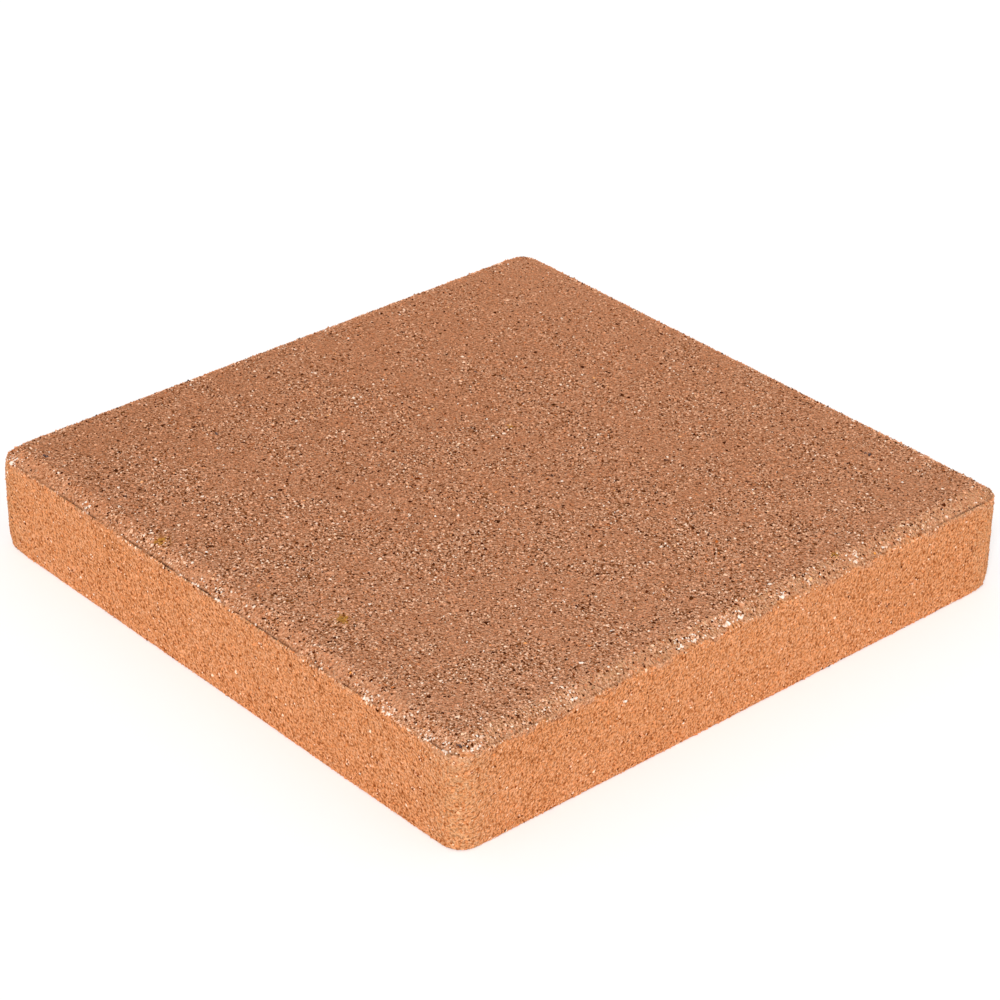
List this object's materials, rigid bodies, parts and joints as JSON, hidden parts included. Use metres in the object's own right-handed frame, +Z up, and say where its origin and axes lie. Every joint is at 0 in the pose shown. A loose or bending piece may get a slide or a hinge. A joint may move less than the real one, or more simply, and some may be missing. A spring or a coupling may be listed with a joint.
{
  "type": "concrete paving stone",
  "caption": "Square slab of terracotta-coloured concrete with upright sides, rounded corners and a bevelled upper edge, laid flat as paving or as a stepping stone.",
  "frame": {"origin": "centre of the underside", "axes": "+Z up through the wearing face, X and Y square to the sides"},
  "size_m": [0.298, 0.298, 0.047],
  "materials": {
    "concrete": "matt terracotta-pigmented concrete: sandy, pitted brown upper face and smoother orange sides"
  },
  "bodies": {
    "root": {"paving_stone": "concrete"}
  },
  "joints": []
}
